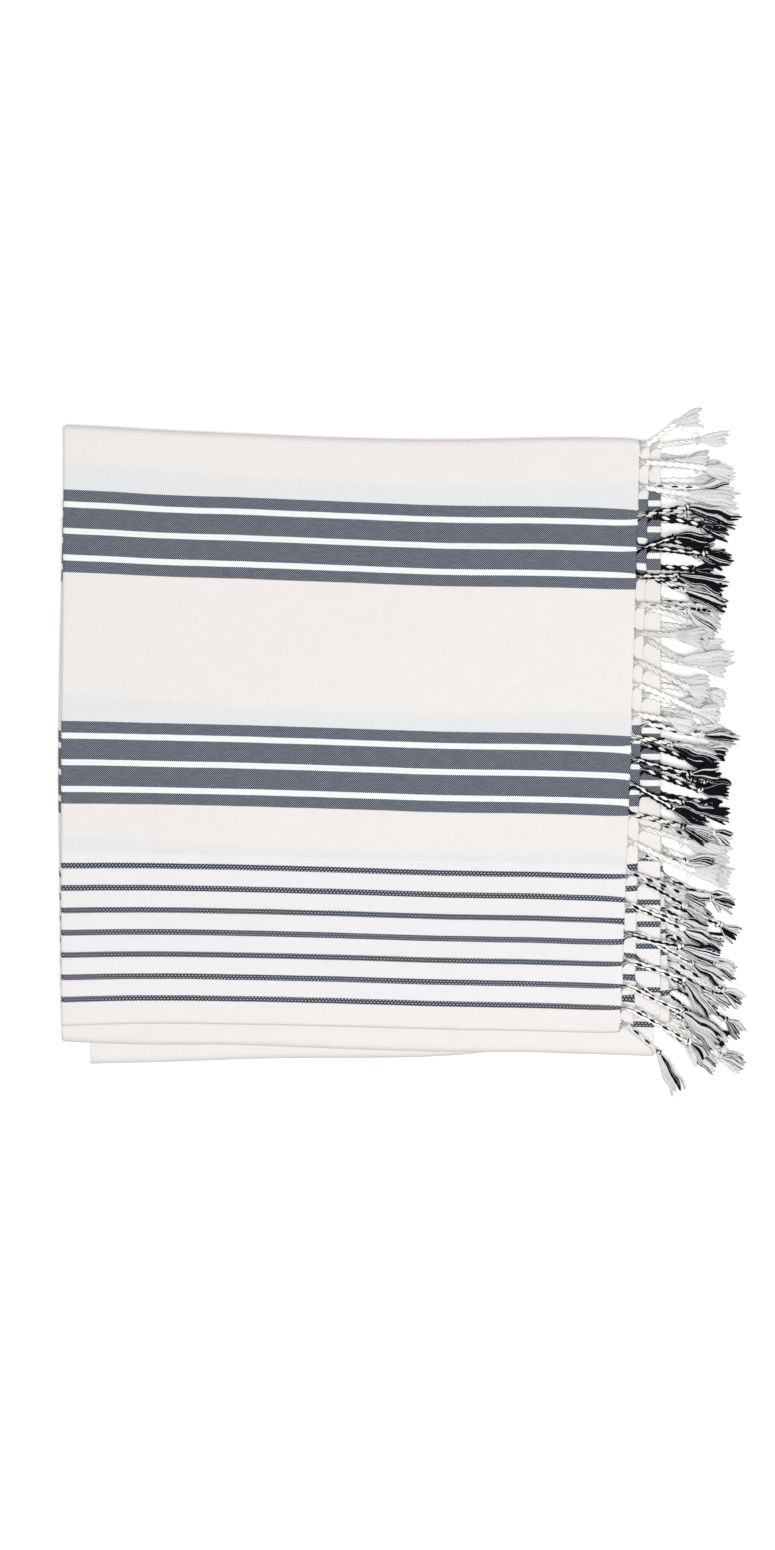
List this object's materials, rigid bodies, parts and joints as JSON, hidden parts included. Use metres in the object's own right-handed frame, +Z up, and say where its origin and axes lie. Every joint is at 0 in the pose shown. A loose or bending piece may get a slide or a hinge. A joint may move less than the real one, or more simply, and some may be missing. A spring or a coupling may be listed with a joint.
{
  "type": "hammam towel",
  "caption": "Cotton hammam towel with woven navy stripes, folded into a flat rectangle, with twisted and knotted fringes along its two ends.",
  "frame": {"origin": "centre of the bounding box in X and Y, on the surface that the towel lies on", "axes": "+Z up from the surface, +X towards the fringes, +Y towards the fold across the cloth's width"},
  "size_m": [0.511, 0.511, 0.019],
  "materials": {
    "cloth_cotton": "matte twill, natural white with navy stripes",
    "fringe_yarn": "matte twisted yarn, natural white and navy"
  },
  "bodies": {
    "root": {"cloth": "cloth_cotton", "fringe_a": "fringe_yarn", "fringe_b": "fringe_yarn"}
  },
  "joints": []
}
